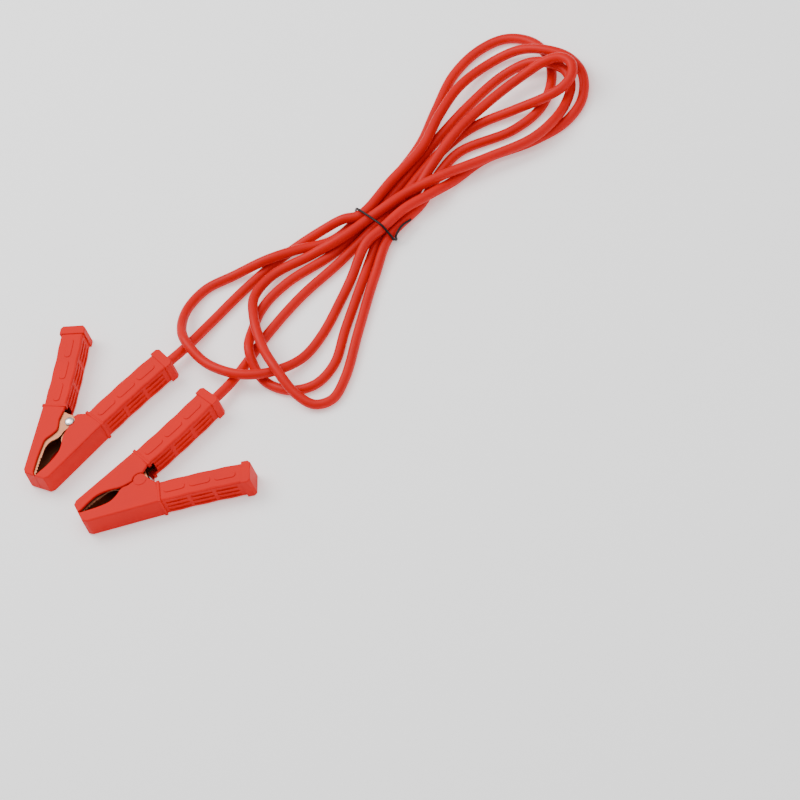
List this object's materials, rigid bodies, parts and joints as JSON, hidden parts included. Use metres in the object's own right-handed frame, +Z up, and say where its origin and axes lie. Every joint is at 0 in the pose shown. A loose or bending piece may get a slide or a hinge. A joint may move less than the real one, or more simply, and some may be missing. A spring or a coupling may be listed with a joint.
{
  "type": "jumper cable",
  "caption": "Coiled heavy battery lead with a spring-loaded crocodile clamp in ribbed moulded grips on each end, folded into a hank and held by a wire tie.",
  "frame": {"origin": "on the table, under the middle of the two clamps' box", "axes": "+X runs from the clamps along the hank, +Y to the far side of the picture, +Z up from the table, along the rivets"},
  "size_m": [0.6064, 0.326, 0.0297],
  "materials": {
    "red_pvc": "satin moulded PVC",
    "red_sheath": "satin extruded PVC",
    "copper_plate": "copper-plated pressed steel",
    "rivet_steel": "bright zinc-plated",
    "spring_steel": "drawn spring wire",
    "tie_plastic": "plastic-coated wire"
  },
  "bodies": {
    "lead": {"cable": "red_sheath", "tie_wire": "tie_plastic", "clamp_1_cable_lever": "copper_plate", "clamp_1_cable_grip": "red_pvc", "clamp_1_rivet": "rivet_steel", "clamp_1_spring": "spring_steel", "clamp_2_cable_lever": "copper_plate", "clamp_2_cable_grip": "red_pvc", "clamp_2_rivet": "rivet_steel", "clamp_2_spring": "spring_steel"},
    "clamp_1_free": {"clamp_1_free_lever": "copper_plate", "clamp_1_free_grip": "red_pvc"},
    "clamp_2_free": {"clamp_2_free_lever": "copper_plate", "clamp_2_free_grip": "red_pvc"}
  },
  "joints": [
    {"name": "clamp_1_hinge", "type": "hinge", "parent": "lead", "child": "clamp_1_free", "pos_m": [-0.03438, 0.03156, 0.0112], "axis": [0, 0, -1], "range_deg": [0, 40], "stiffness_Nm_per_rad": 2, "springref_deg": -34.38, "deforming": ["clamp_1_spring"]},
    {"name": "clamp_2_hinge", "type": "hinge", "parent": "lead", "child": "clamp_2_free", "pos_m": [-0.00398, -0.06784, 0.0112], "axis": [0, 0, 1], "range_deg": [0, 40], "stiffness_Nm_per_rad": 2, "springref_deg": -34.38, "deforming": ["clamp_2_spring"]}
  ]
}
